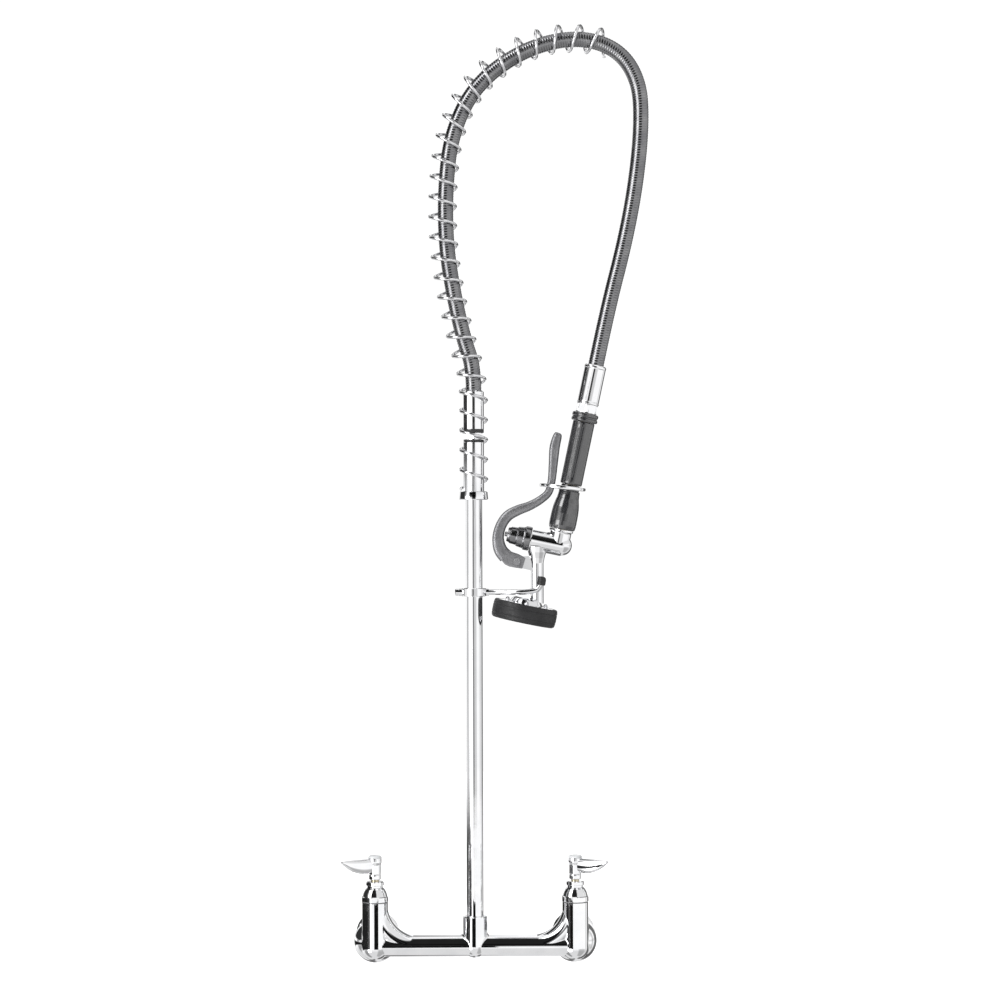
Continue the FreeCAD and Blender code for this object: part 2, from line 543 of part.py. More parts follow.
def hold_down_ring():
    """Flat ring that hangs round both the grip and the lever."""
    ring = turned([(20.7, 0), (23.0, 0), (23.6, 0.8), (23.6, 2.9), (23.0, 3.7), (20.7, 3.7)])
    ring.rotate(ORIGIN, Y, -5.0)
    ring.translate(V(-7.3, 0, 40.4))
    return ring


def spray_cup():
    """Domed cup that carries the spray face and the bumper ring."""
    profile = [(0, -74), (7, -74.2), (12, -75.2), (15.2, -77), (16.8, -79.6), (17.4, HEAD_TOP + 0.1),
               (28, HEAD_TOP - 0.6), (28, HEAD_BASE + 3), (24.5, HEAD_BASE + 3), (24.5, -84.5), (14, -84),
               (12.4, -79.8), (10, -78.4), (0, -78.4)]
    cup = turned(profile, HEAD).cut(rod(NECK_START, DOWN, NECK_R + FREE, NECK_LENGTH + 4))
    for spot in face_screw_spots():
        cup = cup.fuse(rod(spot - Z * 91.4, Z, 2.9, 9)).cut(rod(spot - Z * 91.4, Z, 1.55, 5))
    return cup


def bumper_ring():
    profile = [(28.05, HEAD_TOP - 0.8), (31, HEAD_TOP - 0.4), (32.6, HEAD_TOP - 1.6), (BUMPER_R, HEAD_TOP - 4),
               (BUMPER_R, HEAD_BASE + 4), (32.4, HEAD_BASE + 1.4), (30.6, HEAD_BASE), (27, HEAD_BASE),
               (25, HEAD_BASE + 1.6), (25, HEAD_BASE + 2.9), (28.05, HEAD_BASE + 2.9)]
    return turned(profile, HEAD)


def spray_face():
    """Perforated disc with two rings of outlet holes."""
    disc = turned([(0, -94.5), (24.4, -94.5), (24.4, -91.5), (0, -91.5)], HEAD)
    for count, ring_radius in ((8, 9.0), (14, 16.0)):
        for i in range(count):
            angle = 2 * math.pi * i / count
            disc = disc.cut(rod(HEAD + V(ring_radius * math.cos(angle), ring_radius * math.sin(angle), -95), Z,
                                1.1, 4))
    for spot in face_screw_spots():
        disc = disc.cut(rod(spot - Z * 95, Z, 1.55, 4))
    return disc


def face_screw_spots():
    """Axes of the three screws that hold the spray face in the cup."""
    angles = [2 * math.pi * i / 3 for i in range(3)]
    return [HEAD + V(19.6 * math.cos(a), 19.6 * math.sin(a), 0) for a in angles]


def face_screws():
    """Round-headed screws up through the spray face into the cup's posts."""
    screw = turned([(0, -96), (2.2, -96), (2.8, -95.2), (2.8, -94.5), (1.5, -94.5), (1.5, -87), (0, -87)])
    return Part.makeCompound([screw.translated(spot) for spot in face_screw_spots()])


keep_in_valve("gun_body", gun_body())
keep_in_valve("gun_bonnet", gun_bonnet())
keep_in_valve("plunger_packing", pipe(CHAMBER - X * 46.8, X, 4.9, 2.5 + RUNNING, 3.5))
keep_in_valve("gun_valve_seat", turned([(4.2, 9.6), (5.2, 9.3), (7.45, 10.2), (7.45, 12.6), (4.2, 12.6)], CHAMBER,
                                       X * -1.0))
keep_in_valve("plunger", plunger())
keep_in_valve("return_spring", return_spring())
keep_in_valve("lever_pivot_pin", turned([(0, -7.6), (3.6, -7.6), (3.6, -6.5), (2.5, -6.5), (2.5, 6.5), (3.6, 6.5),
                                         (3.6, 7.6), (0, 7.6)], PIVOT, Y))
keep_in_valve("squeeze_lever", squeeze_lever())
keep_in_valve("lower_grip", turned([(6 + FREE, 0.2), (12.6, 0.2), (13.6, 1.6), (13.9, 8), (13.7, 20),
                                    (12.8, 26.5), (11.4, 32), (10.8, 37), (10.6, 40), (9.4, 40.4), (9.4, 46.5),
                                    (6 + FREE, 46.5)]))
keep_in_valve("upper_grip", upper_grip())
keep_in_valve("grip_core_tube", pipe(V(0, 0, -6), Z, 6, 4.5, 134))
keep_in_valve("grip_collar", turned([(6 + FREE, 111.5), (12.8, 111.5), (13.4, 112.2), (13.4, 119.8), (12.6, 120.6),
                                     (6 + FREE, 120.6)]))
keep_in_valve("grip_nut", hexagon(V(0, 0, 120.8), Z, 21.4, 9.0, 6 + FREE))
keep_in_valve("grip_end_ferrule", turned([(6 + FREE, 129.9), (11.3, 129.9), (11.3, GRIP_LENGTH - 1.2),
                                          (10.2, GRIP_LENGTH), (HOSE_BORE_R, GRIP_LENGTH), (HOSE_BORE_R, 132),
                                          (6 + FREE, 132)]))
keep_in_valve("hold_down_ring", hold_down_ring())
keep_in_valve("spray_cup", spray_cup())
keep_in_valve("bumper_ring", bumper_ring())
keep_in_valve("spray_face", spray_face())
keep_in_valve("face_screws", face_screws(), group=True)
keep_in_valve("face_gasket", pipe(HEAD + Z * -91.4, Z, 24.4, 22.6, 1.4))

# ---- write one STEP file per node ---------------------------------------------------------------------
os.makedirs("parts", exist_ok=True)
for name in sorted(PARTS):
    shape = PARTS[name]
    assert shape.isValid(), name
    shape.exportStep("parts/" + name + ".step")
    box = shape.BoundBox
    print("%-22s %9.0f mm3  x %7.1f %7.1f  y %7.1f %7.1f  z %7.1f %7.1f" % (
        name, shape.Volume, box.XMin, box.XMax, box.YMin, box.YMax, box.ZMin, box.ZMax))
print(len(PARTS), "nodes")
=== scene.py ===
"""Looks for the wall-mounted pre-rinse faucet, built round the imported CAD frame. Metres, +Z up, wall at Y = 0."""
import json
import math

import bmesh
import bpy
from mathutils import Matrix, Vector


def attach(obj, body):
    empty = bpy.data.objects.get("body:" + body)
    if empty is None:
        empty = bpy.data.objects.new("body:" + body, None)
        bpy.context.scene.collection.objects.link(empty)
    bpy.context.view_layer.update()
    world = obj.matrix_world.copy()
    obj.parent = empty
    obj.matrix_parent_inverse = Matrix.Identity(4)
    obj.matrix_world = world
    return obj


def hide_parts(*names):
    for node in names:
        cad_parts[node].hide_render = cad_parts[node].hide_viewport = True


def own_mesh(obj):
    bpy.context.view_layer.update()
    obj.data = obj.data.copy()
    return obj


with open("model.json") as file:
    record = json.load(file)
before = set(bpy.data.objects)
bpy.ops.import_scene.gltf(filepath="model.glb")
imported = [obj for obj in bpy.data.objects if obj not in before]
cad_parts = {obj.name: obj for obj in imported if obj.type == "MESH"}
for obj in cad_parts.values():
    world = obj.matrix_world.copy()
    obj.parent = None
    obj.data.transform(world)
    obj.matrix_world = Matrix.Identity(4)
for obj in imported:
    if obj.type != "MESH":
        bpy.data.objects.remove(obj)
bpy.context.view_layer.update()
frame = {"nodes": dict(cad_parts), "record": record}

# Lengths are in millimetres until a mesh is made.
MM = 0.001
X, Y, Z = Vector((1, 0, 0)), Vector((0, 1, 0)), Vector((0, 0, 1))
UNMOVED = Matrix.Identity(4)
AXIS_Y = -66.0                                     # plane of the riser and the arch
RISER = Matrix.Translation((0, AXIS_Y, 0))
GRIP_TILT = math.radians(12.0)
GRIP_END = Vector((88.8, AXIS_Y, 418.7))
GRIP_UP = Vector((math.sin(GRIP_TILT), 0, math.cos(GRIP_TILT)))
GRIP_LENGTH = 170.3
GRIP_BORE, FERRULE_BORE = 6.2, 8.1
VALVE = Matrix.Translation(GRIP_END) @ Matrix.Rotation(GRIP_TILT, 4, "Y")     # the spray valve's own frame

HOSE_ROUTE = [(0, 560), (0, 584), (-10, 613), (-20, 658), (-27.6, 708), (-28.2, 764), (-22, 820), (1.5, 869.5),
              (49.5, 905.5), (104, 919.5), (147, 907.5), (169.5, 874), (171.3, 826), (165, 767), (153.5, 708)]
HOSE_LAST_RUN, HOSE_R, HOSE_LENGTH = 60.0, 8.0, 0.807
SPRING_ROUTE = [(0, 460), (0, 525), (0, 572), (-12.6, 613), (-23, 658), (-30.6, 708), (-31.2, 764), (-24.8, 821),
                (-0.5, 871.6), (48.5, 908.2), (104, 921.4), (138, 911.2)]
SPRING_R, WIRE_R, SPRING_TURNS = 13.3, 1.55, 28.5
BARREL_X = 101.6                                   # the handles' axes, either side of the riser
HANDLE_TURN = {"left": math.radians(213), "right": math.radians(-33)}
CHAMBER_B = -15.7                                  # height of the valve chamber in the valve's frame
HEAD_A, HEAD_TOP, HEAD_BASE = -19.4, -80.7, -100.0
CUP_NUTS, CUP_NUT_CIRCLE = 6, 22.6
HOOK_Z, HOOK_FRONT = 355.6, AXIS_Y - 11


# ---- materials ----------------------------------------------------------------------------------------
class Recipe:
    """A material whose colour, roughness and relief come from procedural nodes."""

    def __init__(self, name, color, metallic, roughness):
        self.material = bpy.data.materials.new(name)
        self.material.use_nodes = True
        self.tree = self.material.node_tree
        self.shader = self.tree.nodes["Principled BSDF"]
        self.shader.inputs["Base Color"].default_value = (*color, 1)
        self.shader.inputs["Metallic"].default_value = metallic
        self.shader.inputs["Roughness"].default_value = roughness
        self.color = color
        self.coords = self.tree.nodes.new("ShaderNodeTexCoord").outputs["Object"]
        self.height = None

    def node(self, kind, **values):
        """A new node, with its inputs or its own properties set by name."""
        made = self.tree.nodes.new(kind)
        for key, value in values.items():
            if key in made.inputs:
                made.inputs[key].default_value = value
            else:
                setattr(made, key, value)
        return made

    def link(self, out, into):
        self.tree.links.new(out, into)

    def noise(self, scale, detail=3.0, stretch=(1, 1, 1)):
        """Noise in the row frame, scale in cycles per metre, stretched along the axes."""
        mapping = self.node("ShaderNodeMapping")
        mapping.inputs["Scale"].default_value = stretch
        self.link(self.coords, mapping.inputs["Vector"])
        made = self.node("ShaderNodeTexNoise", Scale=scale, Detail=detail)
        self.link(mapping.outputs["Vector"], made.inputs["Vector"])
        return made.outputs["Fac"]

    def spread(self, fac, low, high, start=0.35, end=0.65):
        """The factor's middle range stretched to run from low to high."""
        made = self.node("ShaderNodeMapRange")
        for key, value in (("From Min", start), ("From Max", end), ("To Min", low), ("To Max", high)):
            made.inputs[key].default_value = value
        self.link(fac, made.inputs["Value"])
        return made.outputs["Result"]

    def vary_roughness(self, fac, low, high):
        self.link(self.spread(fac, low, high), self.shader.inputs["Roughness"])
        return self

    def vary_color(self, fac, other, start=0.35, end=0.65):
        mix = self.node("ShaderNodeMix", data_type="RGBA")
        self.link(self.spread(fac, 0.0, 1.0, start, end), mix.inputs[0])
        mix.inputs[6].default_value = (*self.color, 1)
        mix.inputs[7].default_value = (*other, 1)
        self.link(mix.outputs[2], self.shader.inputs["Base Color"])
        return self

    def relief(self, fac, depth):
        """Bump of the given depth in millimetres."""
        bump = self.node("ShaderNodeBump", Strength=1.0, Distance=depth * MM)
        self.link(fac, bump.inputs["Height"])
        if self.height is not None:
            self.link(self.height, bump.inputs["Normal"])
        self.height = bump.outputs["Normal"]
        self.link(self.height, self.shader.inputs["Normal"])
        return self

    def set(self, **values):
        """Uniform values, on the shader's own sockets."""
        for key, value in values.items():
            self.shader.inputs[key.replace("_", " ")].default_value = value
        return self


def chrome(name, tone=0.88, low=0.025, high=0.085, ripple=0.004):
    """Bright plate with faint wipe marks and the slight ripple of a polished casting."""
    made = Recipe(name, (tone, tone, tone * 1.01), 1.0, low)
    made.vary_roughness(made.noise(90, 5), low, high)
    made.vary_color(made.noise(38, 3), (tone * 0.93, tone * 0.935, tone * 0.95))
    if ripple:
        made.relief(made.noise(160, 2), ripple)
    return made.material


def make_materials():
    made = {"chrome_body": chrome("cast chrome", ripple=0.006), "chrome_trim": chrome("turned chrome", ripple=0.002)}

    brass = Recipe("machined brass", (0.66, 0.59, 0.44), 1.0, 0.25)
    brass.vary_roughness(brass.noise(300, 4, (1, 1, 6)), 0.18, 0.36)
    brass.vary_color(brass.noise(70, 3), (0.54, 0.47, 0.33))
    made["brass"] = brass.relief(brass.noise(900, 2, (0.2, 0.2, 4)), 0.01).material

    wire = Recipe("drawn spring wire", (0.84, 0.84, 0.85), 1.0, 0.10)
    wire.vary_roughness(wire.noise(700, 4), 0.05, 0.15)
    wire.vary_color(wire.noise(120, 3), (0.72, 0.72, 0.74))
    made["stainless_spring"] = wire.relief(wire.noise(1500, 3), 0.006).material

    strip = Recipe("interlocked hose strip", (0.27, 0.27, 0.275), 1.0, 0.20)
    strip.vary_roughness(strip.noise(500, 4), 0.13, 0.26)
    strip.vary_color(strip.noise(80, 4), (0.20, 0.20, 0.21))
    made["stainless_hose"] = strip.relief(strip.noise(2200, 3), 0.012).material

    screw = Recipe("stainless screw", (0.62, 0.62, 0.63), 1.0, 0.24)
    screw.vary_roughness(screw.noise(600, 4), 0.16, 0.34)
    screw.vary_color(screw.noise(150, 3), (0.50, 0.50, 0.52))
    made["stainless_screw"] = screw.relief(screw.noise(1800, 2), 0.008).material

    lever = Recipe("satin lever", (0.30, 0.30, 0.31), 0.85, 0.40)
    lever.vary_roughness(lever.noise(420, 5), 0.32, 0.48)
    lever.vary_color(lever.noise(60, 4), (0.24, 0.24, 0.25))
    made["lever_metal"] = lever.relief(lever.noise(2400, 4), 0.02).material

    grip = Recipe("moulded grip", (0.022, 0.022, 0.024), 0.0, 0.20)
    grip.vary_roughness(grip.noise(120, 3), 0.11, 0.19)
    grip.vary_color(grip.noise(45, 4), (0.012, 0.012, 0.014))
    made["grip_grey"] = grip.relief(grip.noise(1800, 2), 0.003).set(IOR=2.0, Coat_Weight=0.3).material

    rubber = Recipe("bumper rubber", (0.009, 0.009, 0.010), 0.0, 0.50)
    rubber.vary_roughness(rubber.noise(300, 4), 0.42, 0.62)
    rubber.vary_color(rubber.noise(55, 4), (0.016, 0.016, 0.017))
    made["bumper_rubber"] = rubber.relief(rubber.noise(2000, 4), 0.05).material

    seal = Recipe("seal rubber", (0.022, 0.022, 0.023), 0.0, 0.55)
    seal.vary_roughness(seal.noise(400, 3), 0.45, 0.65)
    seal.vary_color(seal.noise(90, 3), (0.035, 0.035, 0.036))
    made["seal_rubber"] = seal.relief(seal.noise(2500, 3), 0.02).material

    cap = Recipe("glossy cap", (0.60, 0.61, 0.62), 0.0, 0.20)
    cap.vary_roughness(cap.noise(200, 3), 0.14, 0.26)
    cap.vary_color(cap.noise(60, 3), (0.54, 0.55, 0.56))
    made["index_cap_plastic"] = cap.relief(cap.noise(900, 2), 0.006).set(Coat_Weight=0.4).material
    return made


MATERIALS = make_materials()
SLOT_OF = {entry["node"]: entry["material_slot"] for entry in frame["record"]["subparts"]}


# ---- mesh helpers -------------------------------------------------------------------------------------
def piece(name, verts, faces, body, slot, replaces=()):
    """A mesh object in metres, with its material, riding on a body and standing for CAD nodes."""
    mesh = bpy.data.meshes.new(name)
    mesh.from_pydata([Vector(v) * MM for v in verts], [], faces)
    obj = bpy.data.objects.new(name, mesh)
    bpy.context.scene.collection.objects.link(obj)
    mesh.materials.append(MATERIALS[slot])
    clean = bmesh.new()
    clean.from_mesh(mesh)
    bmesh.ops.recalc_face_normals(clean, faces=clean.faces)
    clean.to_mesh(mesh)
    clean.free()
    mesh.polygons.foreach_set("use_smooth", [True] * len(mesh.polygons))
    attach(obj, body)
    if replaces:
        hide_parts(*replaces)
    return obj


def sharpen(obj, degrees=32):
    """Keep edges sharper than this crisp."""
    made = bmesh.new()
    made.from_mesh(obj.data)
    for edge in made.edges:
        edge.smooth = len(edge.link_faces) == 2 and edge.calc_face_angle(0) < math.radians(degrees)
    made.to_mesh(obj.data)
    made.free()
    return obj


def compass(sides):
    """Cosine and sine of each of the equal steps round a circle."""
    return [(math.cos(2 * math.pi * k / sides), math.sin(2 * math.pi * k / sides)) for k in range(sides)]


def circle(centre, across, up, radius, sides):
    return [centre + across * (radius * c) + up * (radius * s) for c, s in compass(sides)]


def rounded(points, radius, steps=4):
    """A closed outline of (r, h) points with its corners turned into small arcs."""
    result = []
    count = len(points)
    for i, corner in enumerate(points):
        here = Vector(corner)
        before, after = Vector(points[i - 1]) - here, Vector(points[(i + 1) % count]) - here
        if here.x < 1e-6 or before.length < 1e-6 or after.length < 1e-6:
            result.append(tuple(here))
            continue
        turn = before.angle(after)
        cut = min(radius / max(math.tan(turn / 2), 0.05), 0.45 * before.length, 0.45 * after.length)
        start, end = here + before.normalized() * cut, here + after.normalized() * cut
        for k in range(steps + 1):
            t = k / steps
            result.append(tuple(start * (1 - t) ** 2 + here * 2 * t * (1 - t) + end * t ** 2))
    return result


def lathe(points, sides=96, place=UNMOVED):
    """Vertices and faces of a closed (r, h) outline turned about Z and put in place."""
    verts, rings = [], []
    for r, h in points:
        if r < 1e-6:
            rings.append([len(verts)] * sides)
            verts.append(place @ Vector((0, 0, h)))
        else:
            rings.append(list(range(len(verts), len(verts) + sides)))
            verts += [place @ Vector((r * c, r * s, h)) for c, s in compass(sides)]
    faces = []
    for ring, following in zip(rings, rings[1:] + rings[:1]):
        for k in range(sides):
            face = [ring[k], ring[(k + 1) % sides], following[(k + 1) % sides], following[k]]
            face = list(dict.fromkeys(face))
            if len(face) > 2:
                faces.append(face)
    return verts, faces


def loft(sections):
    """Vertices and faces of a closed skin over equal-sized rings, with flat ends."""
    size = len(sections[0])
    verts = [v for ring in sections for v in ring]
    faces = [list(range(size))[::-1], list(range((len(sections) - 1) * size, len(sections) * size))]
    for i in range(len(sections) - 1):
        for k in range(size):
            a, b = i * size + k, i * size + (k + 1) % size
            faces.append([a, b, b + size, a + size])
    return verts, faces


def oval(centre, across, up, width, height, power=2.0, sides=32):
    """A superellipse ring: power 2 is an ellipse, higher is squarer."""
    ring = []
    for c, s in compass(sides):
        x = math.copysign(abs(c) ** (2 / power), c) * width / 2
        y = math.copysign(abs(s) ** (2 / power), s) * height / 2
        ring.append(centre + across * x + up * y)
    return ring


def nurbs_line(name, points, resolution):
    """The smooth curve through the route, read back as points, in millimetres."""
    data = bpy.data.curves.new(name, "CURVE")
    data.dimensions = "3D"
    spline = data.splines.new("NURBS")
    spline.points.add(len(points) - 1)
    for point, place in zip(spline.points, points):
        point.co = (*(Vector(place) * MM), 1)
    spline.order_u = 3
    spline.use_endpoint_u = True
    spline.resolution_u = resolution
    holder = bpy.data.objects.new(name, data)
    bpy.context.scene.collection.objects.link(holder)
    mesh = bpy.data.meshes.new_from_object(holder)
    line = [v.co.copy() / MM for v in mesh.vertices]
    bpy.data.objects.remove(holder)
    return line


class Line:
    """A polyline in the plane of the arch that can be asked for its point and frame at any length."""

    def __init__(self, points):
        self.points = points
        self.at_length = [0.0]
        for a, b in zip(points, points[1:]):
            self.at_length.append(self.at_length[-1] + (b - a).length)
        self.length = self.at_length[-1]
        self.index = 0

    def at(self, s):
        """The point s along the line. It looks on from where it last looked."""
        s = min(max(s, 0.0), self.length)
        if s < self.at_length[self.index]:
            self.index = 0
        while self.index < len(self.points) - 2 and self.at_length[self.index + 1] < s:
            self.index += 1
        i = self.index
        span = self.at_length[i + 1] - self.at_length[i]
        t = (s - self.at_length[i]) / span
        return self.points[i].lerp(self.points[i + 1], t)

    def frame(self, s, reach=1.5):
        """Point, tangent, side in the plane of the arch, and the direction out of that plane."""
        tangent = (self.at(s + reach) - self.at(s - reach)).normalized()
        return self.at(s), tangent, Y.cross(tangent) * -1, Y


def plane_points(route):
    return [Vector((x, AXIS_Y, z)) for x, z in route]


# ---- camera and studio --------------------------------------------------------------------------------
def make_camera(scene):
    """The photograph's view: from the front, on the object's middle, turned a touch."""
    width_at_object = 1.015
    camera_data = bpy.data.cameras.new("camera")
    camera_data.lens, camera_data.sensor_width = 100, 36
    camera = bpy.data.objects.new("camera", camera_data)
    scene.collection.objects.link(camera)
    distance = camera_data.lens / camera_data.sensor_width * width_at_object
    camera.location = (0.0265, AXIS_Y * MM - distance, 0.4490)
    camera.rotation_euler = (math.pi / 2, math.radians(0.18), 0)
    camera_data.clip_end = 50
    scene.camera = camera


def make_world(scene):
    """White to the camera. Reflections see a white room with grey and black cards in it."""
    world = bpy.data.worlds.new("studio")
    scene.world = world
    world.use_nodes = True
    tree = world.node_tree
    nodes, links = tree.nodes, tree.links
    nodes.clear()
    coords = nodes.new("ShaderNodeTexCoord").outputs["Generated"]
    split = nodes.new("ShaderNodeSeparateXYZ")
    links.new(coords, split.inputs[0])

    def math_node(kind, a, b=None, clamp=False):
        made = nodes.new("ShaderNodeMath")
        made.operation, made.use_clamp = kind, clamp
        for socket, value in zip(made.inputs, (a, b)):
            if value is None:
                continue
            if isinstance(value, (int, float)):
                socket.default_value = value
            else:
                links.new(value, socket)
        return made.outputs[0]

    def ramp(value, start, end, low=0.0, high=1.0):
        made = nodes.new("ShaderNodeMapRange")
        made.interpolation_type = "SMOOTHSTEP"
        for key, number in (("From Min", start), ("From Max", end), ("To Min", low), ("To Max", high)):
            made.inputs[key].default_value = number
        links.new(value, made.inputs["Value"])
        return made.outputs["Result"]

    def band(value, start, end, edge):
        return math_node("MULTIPLY", ramp(value, start - edge, start + edge),
                         ramp(value, end - edge, end + edge, 1.0, 0.0))

    # azimuth in degrees from the front, positive to the right; elevation in degrees
    azimuth = math_node("MULTIPLY", math_node("ARCTAN2", split.outputs["X"],
                                              math_node("MULTIPLY", split.outputs["Y"], -1.0)), 180 / math.pi)
    elevation = math_node("MULTIPLY", math_node("ARCSINE", split.outputs["Z"]), 180 / math.pi)
    level = 1.0
    cards = [                                      # (azimuth from, to, edge), (elevation from, to, edge), darkness
        ((-38, 18, 5), (9, 84, 4), 0.985),         # black flag hung over the front
        ((-76, 18, 5), (8.2, 20, 1), 0.80),
        ((-64, -34, 4), (-30, 60, 8), -4.0),       # tall soft light at the front left
        ((-150, -40, 6), (-15, -6.4, 0.7), 0.985),  # low: what the left barrel shows
        ((99, 111, 4), (-30, 60, 4), 0.40),
        ((-116, -97, 4), (-6.4, 0.5, 0.5), 0.66),  # middle: the riser's softer stripes
        ((-97, -15, 4), (-6.4, 0.5, 0.5), 0.20),
        ((-17, -1, 3), (-6.4, 0.5, 0.5), 0.84),
        ((-1, 30, 6), (-6.4, 0.5, 0.5), 0.36),
        ((70, 150, 10), (-6.4, 0.5, 0.5), 0.22),
        ((-145, -76, 5), (0.5, 60, 0.5), 0.97),    # high: sleeve, ferrules, spring and hose
        ((-14, 14, 4), (0.5, 12, 0.5), 0.97),
        ((20, 100, 8), (12, 60, 6), 0.25),
        ((-400, 400, 5), (-120, -22, 10), 0.28),   # the floor's own grey
        ((30, 95, 10), (-70, -15, 4), 0.42),       # the rest of the room: contrast for the sides and the back
        ((-110, -70, 6), (-70, -15, 4), 0.60),
        ((122, 160, 5), (-70, 70, 5), 0.85),
        ((-178, -160, 4), (-70, 70, 5), 0.80),
    ]
    for across, up, strength in cards:
        shade = math_node("MULTIPLY", math_node("MULTIPLY", band(azimuth, *across), band(elevation, *up)), strength)
        level = math_node("MULTIPLY", level, math_node("SUBTRACT", 1.0, shade))
    level = math_node("MULTIPLY", level, 1.15)
    seen = nodes.new("ShaderNodeBackground")
    seen.inputs["Color"].default_value = (1, 1, 1, 1)
    seen.inputs["Strength"].default_value = 1.05
    lit = nodes.new("ShaderNodeBackground")
    lit.inputs["Color"].default_value = (1, 1, 1, 1)
    links.new(level, lit.inputs["Strength"])
    mix = nodes.new("ShaderNodeMixShader")
    links.new(nodes.new("ShaderNodeLightPath").outputs["Is Camera Ray"], mix.inputs[0])
    links.new(lit.outputs[0], mix.inputs[1])
    links.new(seen.outputs[0], mix.inputs[2])
    links.new(mix.outputs[0], nodes.new("ShaderNodeOutputWorld").inputs["Surface"])


def make_lights(scene):
    """Two soft lights, left out of reflections."""
    target = Vector((0.03, -0.05, 0.45))
    for name, place, size, power in (("key", (-1.6, -1.5, 1.5), 0.9, 30), ("fill", (1.7, -1.5, 0.9), 1.4, 2)):
        light_data = bpy.data.lights.new(name, "AREA")
        light_data.energy, light_data.size = power, size
        light = bpy.data.objects.new(name, light_data)
        light.location = place
        light.rotation_euler = (target - Vector(place)).to_track_quat("-Z", "Y").to_euler()
        light.visible_glossy = False
        scene.collection.objects.link(light)


def make_floor():
    bpy.ops.mesh.primitive_plane_add(size=12, location=(0, 0, -0.42))
    floor = bpy.context.object
    floor.name = "floor"
    pale = Recipe("pale floor", (0.93, 0.93, 0.93), 0.0, 0.9)
    pale.vary_color(pale.noise(3, 3), (0.96, 0.96, 0.96))
    pale.set(Emission_Color=(1, 1, 1, 1), Emission_Strength=0.42)
    floor.data.materials.append(pale.material)
    floor.visible_glossy = False


def make_flag(scene):
    """A black flag close in front of the mixing body, seen only in its reflections."""
    verts = [(x * MM, -280 * MM, z * MM) for x, z in ((-122, -60), (22, -60), (22, 12), (-122, 12))]
    mesh = bpy.data.meshes.new("flag")
    mesh.from_pydata(verts, [], [(0, 1, 2, 3)])
    flag = bpy.data.objects.new("flag", mesh)
    scene.collection.objects.link(flag)
    cloth = Recipe("black cloth", (0.006, 0.006, 0.006), 0.0, 1.0)
    cloth.vary_color(cloth.noise(40, 3), (0.01, 0.01, 0.01)).set(Specular_IOR_Level=0.0)
    mesh.materials.append(cloth.material)
    flag.visible_camera = flag.visible_diffuse = flag.visible_shadow = flag.visible_transmission = False


def studio():
    scene = bpy.context.scene
    scene.view_settings.view_transform = "Standard"
    make_camera(scene)
    make_world(scene)
    make_lights(scene)
    make_floor()
    make_flag(scene)


studio()


# ---- CAD nodes that stay as they are ------------------------------------------------------------------
for name, node in frame["nodes"].items():
    node.data.materials.clear()
    node.data.materials.append(MATERIALS[SLOT_OF[name]])


# ---- hose ---------------------------------------------------------------------------------------------
def build_hose():
    """Interlocked metal hose: rounded strips with a narrow groove between them, wound in a shallow helix."""
    end = GRIP_END + GRIP_UP * GRIP_LENGTH
    route = plane_points(HOSE_ROUTE) + [end + GRIP_UP * HOSE_LAST_RUN, end]
    line = Line(nurbs_line("hose route", route, 24))
    pitch, sides = 2.6, 40
    profile = (7.66, 7.90, 7.98, 8.0, 7.98, 7.90)          # radii across one strip, from its groove
    steps = len(profile)
    count = int(line.length / pitch * steps)
    sections = []
    for i in range(count + 1):
        s = line.length * i / count
        centre, tangent, side, out = line.frame(s)
        ring = []
        for k, (c, w) in enumerate(compass(sides)):
            phase = (s / pitch * steps + steps * k / sides) % steps
            low = int(phase)
            r = profile[low] + (profile[(low + 1) % steps] - profile[low]) * (phase - low)
            ring.append(centre + side * (r * c) + out * (r * w))
        sections.append(ring)
    hose = piece("metal_hose", *loft(sections), "arch", "stainless_hose", ["hose"])


build_hose()


# ---- overhead spring ----------------------------------------------------------------------------------
def build_spring():
    """Open coils of round wire about their own route, wound left-handed."""
    line = Line(nurbs_line("spring route", plane_points(SPRING_ROUTE), 24))
    per_turn, sides = 56, 14
    count = int(SPRING_TURNS * per_turn)
    centres = []
    for i in range(count + 1):
        u = i / count
        centre, tangent, side, out = line.frame(line.length * u)
        angle = -2 * math.pi * SPRING_TURNS * u
        centres.append((centre + side * (SPRING_R * math.cos(angle))
                        + tangent.cross(side) * (SPRING_R * math.sin(angle)), centre))
    sections = []
    for i, (place, axis) in enumerate(centres):
        tangent = (centres[min(i + 1, count)][0] - centres[max(i - 1, 0)][0]).normalized()
        outward = place - axis
        outward = (outward - tangent * outward.dot(tangent)).normalized()
        across = tangent.cross(outward)
        taper = min(1.0, 0.86 + 0.14 * min(i, count - i) / 3)
        sections.append(circle(place, outward, across, WIRE_R * taper, sides))
    spring = piece("spring_coils", *loft(sections), "arch", "stainless_spring", ["overhead_spring"])
    sharpen(spring, 50)


build_spring()


# ---- turned and swept pieces --------------------------------------------------------------------------
def turned(name, points, body, slot, replaces, place=UNMOVED, radius=0.5, sides=96):
    """A piece made on a lathe from an (r, h) outline, with small arcs at its corners."""
    return sharpen(piece(name, *lathe(rounded(points, radius), sides, place), body, slot, replaces), 40)


def joined(parts):
    """One vertex and face list from several."""
    verts, faces = [], []
    for more_verts, more_faces in parts:
        faces += [[len(verts) + i for i in face] for face in more_faces]
        verts += list(more_verts)
    return verts, faces


